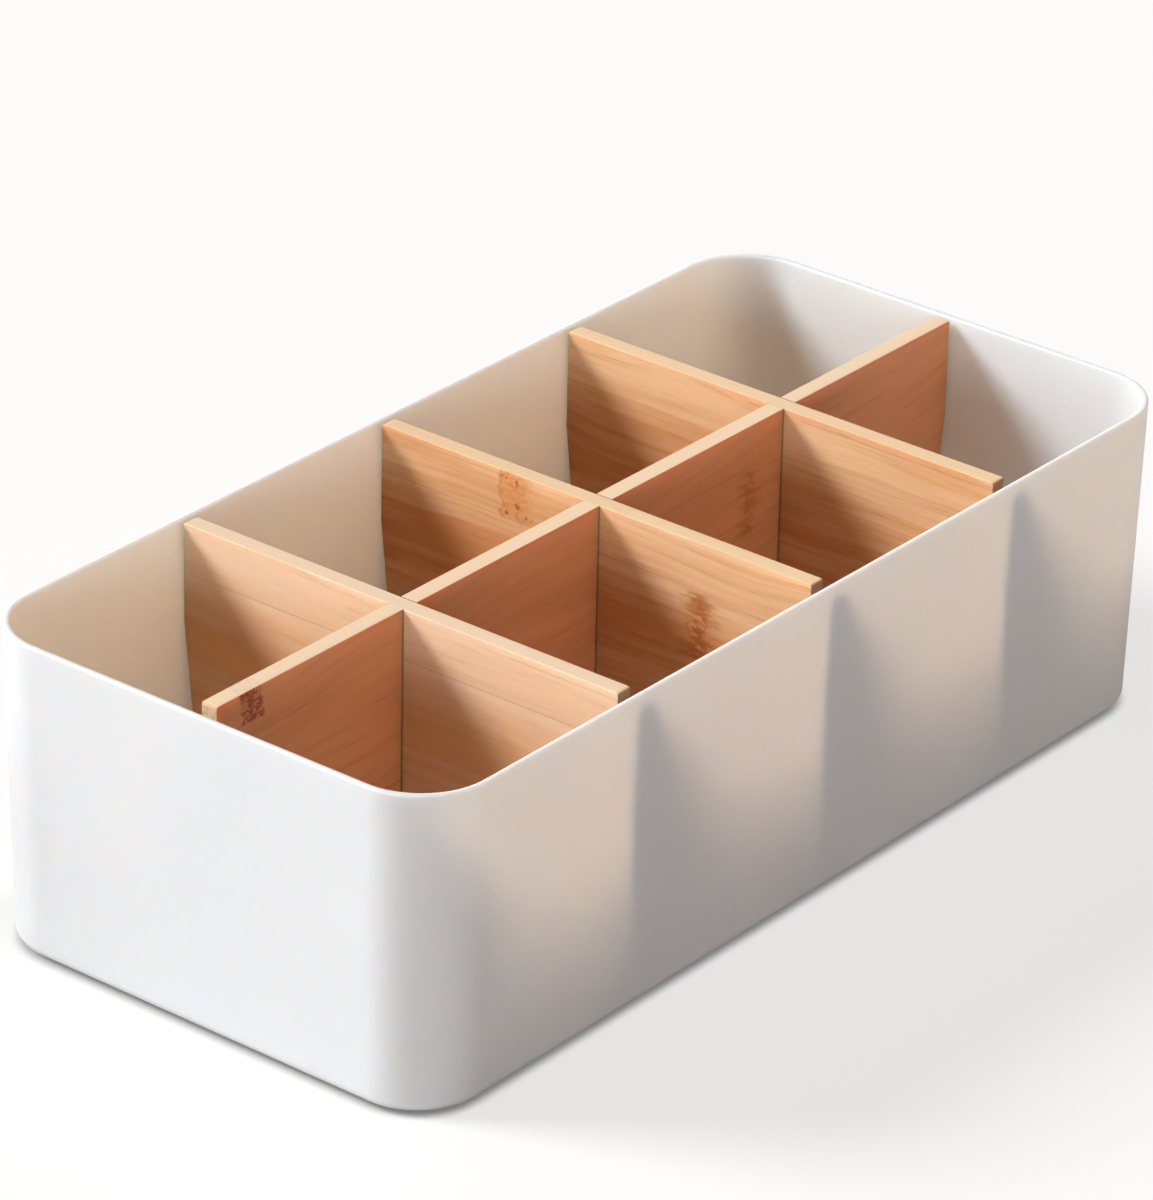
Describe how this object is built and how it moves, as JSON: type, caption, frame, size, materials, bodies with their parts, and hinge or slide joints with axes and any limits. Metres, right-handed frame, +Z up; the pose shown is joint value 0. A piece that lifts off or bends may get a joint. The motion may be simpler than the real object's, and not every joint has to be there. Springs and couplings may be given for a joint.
{
  "type": "divided desk organizer",
  "caption": "Open-top white moulded desk organizer tub with rounded corners and a lift-out half-lapped bamboo grid that parts it into equal compartments.",
  "frame": {"origin": "on the standing plane, under the middle of the tub", "axes": "+X along the length to the rear end, +Y across to the left side, +Z up"},
  "size_m": [0.3, 0.145, 0.087],
  "materials": {
    "tub_plastic": "satin moulded white",
    "bamboo": "sanded and clear oiled, straight grain along each board",
    "pad_rubber": "matt translucent white"
  },
  "bodies": {
    "tub": {"moulded_tub": "tub_plastic", "front_left_pad": "pad_rubber", "front_right_pad": "pad_rubber", "rear_left_pad": "pad_rubber", "rear_right_pad": "pad_rubber"},
    "long_board": {"long_divider": "bamboo"},
    "front_cross_board": {"front_cross_divider": "bamboo"},
    "middle_cross_board": {"middle_cross_divider": "bamboo"},
    "rear_cross_board": {"rear_cross_divider": "bamboo"}
  },
  "joints": [
    {"name": "grid_lift", "type": "slide", "parent": "tub", "child": "long_board", "axis": [0, 0, 1], "range_m": [0, 0.09]},
    {"name": "front_cross_lift", "type": "slide", "parent": "long_board", "child": "front_cross_board", "axis": [0, 0, 1], "range_m": [0, 0.09]},
    {"name": "middle_cross_lift", "type": "slide", "parent": "long_board", "child": "middle_cross_board", "axis": [0, 0, 1], "range_m": [0, 0.09]},
    {"name": "rear_cross_lift", "type": "slide", "parent": "long_board", "child": "rear_cross_board", "axis": [0, 0, 1], "range_m": [0, 0.09]}
  ]
}
